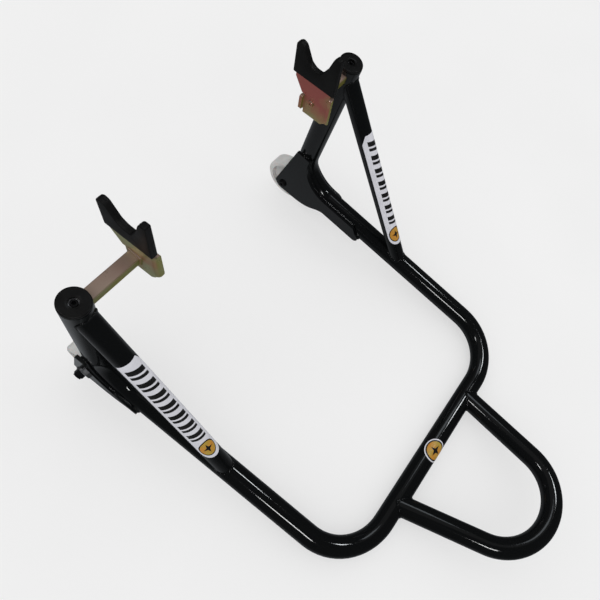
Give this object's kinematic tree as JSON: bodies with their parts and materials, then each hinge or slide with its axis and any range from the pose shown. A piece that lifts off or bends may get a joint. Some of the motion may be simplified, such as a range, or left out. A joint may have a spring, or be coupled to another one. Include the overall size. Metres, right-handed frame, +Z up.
{
  "type": "motorcycle rear paddock stand",
  "caption": "Motorcycle rear paddock stand: bent tube frame with rear handle loop, side braces, wheels under the bends and rubber swingarm rests on sliding square bars.",
  "frame": {"origin": "on the floor under the centre of the bounding box, with the stand at rest on its wheels and crossbar", "axes": "+Z up, +Y from the handle towards the wheels, +X to the stand's right when seen from the handle"},
  "size_m": [0.5032, 0.7182, 0.4016],
  "materials": {
    "black_powder_coat": "deep gloss powder coat with soft orange peel",
    "yellow_zinc": "yellow chromate zinc plate, iridescent tan, olive and rose",
    "zinc_steel": "dull bright zinc plate",
    "black_steel": "black oxide, satin",
    "black_plastic": "moulded, low sheen",
    "grey_nylon": "light grey nylon, satin",
    "black_rubber": "matt moulded rubber"
  },
  "bodies": {
    "frame": {"main_frame_tube": "black_powder_coat", "handle_tube": "black_powder_coat", "brace_tube_left": "black_powder_coat", "brace_tube_right": "black_powder_coat", "wheel_plate_inner_left": "black_powder_coat", "wheel_plate_inner_right": "black_powder_coat", "wheel_plate_outer_left": "black_powder_coat", "wheel_plate_outer_right": "black_powder_coat", "upright_plug_left": "black_plastic", "upright_plug_right": "black_plastic", "bar_guide_left": "zinc_steel", "bar_guide_right": "zinc_steel", "lock_screw_left": "black_steel", "lock_screw_right": "black_steel", "axle_sleeve_left": "zinc_steel", "axle_sleeve_right": "zinc_steel", "thrust_washers_left": "zinc_steel", "thrust_washers_right": "zinc_steel", "axle_bolt_left": "black_steel", "axle_bolt_right": "black_steel", "axle_nut_left": "black_steel", "axle_nut_right": "black_steel", "axle_washer_left": "zinc_steel", "axle_washer_right": "zinc_steel", "plate_screw_left": "zinc_steel", "plate_screw_right": "zinc_steel"},
    "left_wheel": {"wheel_left": "grey_nylon"},
    "right_wheel": {"wheel_right": "grey_nylon"},
    "left_rest": {"rest_bar_left": "yellow_zinc", "rest_bracket_left": "yellow_zinc", "rest_screw_left": "yellow_zinc", "rest_pad_left": "black_rubber"},
    "right_rest": {"rest_bar_right": "yellow_zinc", "rest_bracket_right": "yellow_zinc", "rest_screw_right": "yellow_zinc", "rest_pad_right": "black_rubber"}
  },
  "joints": [
    {"name": "left_wheel_spin", "type": "hinge", "parent": "frame", "child": "left_wheel", "pos_m": [-0.22, 0.32165, 0.0375], "axis": [1, 0, 0], "continuous": true},
    {"name": "right_wheel_spin", "type": "hinge", "parent": "frame", "child": "right_wheel", "pos_m": [0.22, 0.32165, 0.0375], "axis": [1, 0, 0], "continuous": true},
    {"name": "left_rest_slide", "type": "slide", "parent": "frame", "child": "left_rest", "axis": [1, 0, 0], "range_m": [-0.007, 0.01]},
    {"name": "right_rest_slide", "type": "slide", "parent": "frame", "child": "right_rest", "axis": [-1, 0, 0], "range_m": [-0.007, 0.01]}
  ]
}
